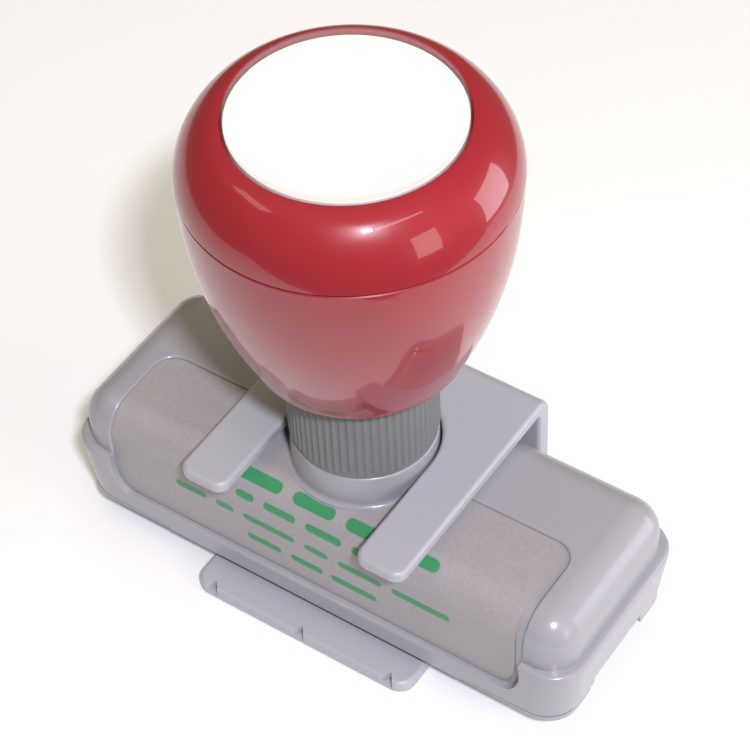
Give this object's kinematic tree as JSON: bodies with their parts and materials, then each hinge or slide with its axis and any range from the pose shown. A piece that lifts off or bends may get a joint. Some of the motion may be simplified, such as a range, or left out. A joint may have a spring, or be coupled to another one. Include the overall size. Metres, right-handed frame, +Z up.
{
  "type": "pre-inked stamp",
  "caption": "Hand stamp with a round glossy knob over a ribbed adjusting ring, a sprung inked die in a moulded housing, and a U-shaped clip that slides off backwards.",
  "frame": {"origin": "below the knob's axis, on the surface that the clip's plate stands on", "axes": "+X along the base's length, +Y away from the label, towards the clip's back wall, +Z up the knob's axis"},
  "size_m": [0.0746, 0.039, 0.0769],
  "materials": {
    "clip_grey": "moulded light grey, satin",
    "housing_grey": "moulded lavender grey, satin",
    "label_film": "matte beige-grey film",
    "ring_grey": "moulded dark grey, fine ribs",
    "knob_red": "moulded crimson, high gloss",
    "index_white": "white card",
    "clear_cover": "clear moulding",
    "stem_plastic": "moulded dark grey",
    "bush_plastic": "natural white bearing plastic",
    "spring_steel": "drawn wire and stampings, bright",
    "pad_felt": "ink-soaked felt",
    "die_rubber": "porous rubber",
    "retainer_plastic": "moulded mid grey"
  },
  "bodies": {
    "base": {"housing": "housing_grey", "label_film": "label_film", "bottom_frame": "housing_grey", "guide_bush": "bush_plastic", "ring_retainer": "spring_steel", "return_spring": "spring_steel"},
    "plunger": {"knob_bowl": "knob_red", "knob_cap": "knob_red", "index_disc": "index_white", "index_cover": "clear_cover", "handle_stem": "stem_plastic", "spring_washer": "spring_steel", "stem_screw": "spring_steel", "screw_washer": "spring_steel", "die_carrier": "stem_plastic", "carrier_screw": "spring_steel", "ink_pad": "pad_felt", "printing_die": "die_rubber", "die_retainer": "retainer_plastic"},
    "ring": {"adjusting_ring": "ring_grey"},
    "clip": {"storage_clip": "clip_grey"}
  },
  "joints": [
    {"name": "press", "type": "slide", "parent": "base", "child": "plunger", "axis": [0, 0, -1], "range_m": [0, 0.0025], "stiffness_N_per_m": 3000, "springref_m": -0.002, "deforming": ["return_spring"]},
    {"name": "ring_turn", "type": "hinge", "parent": "base", "child": "ring", "pos_m": [0, 0, 0.034], "axis": [0, 0, 1], "range_deg": [-90, 90]},
    {"name": "clip_slide", "type": "slide", "parent": "base", "child": "clip", "axis": [0, 1, 0], "range_m": [0, 0.036]}
  ]
}
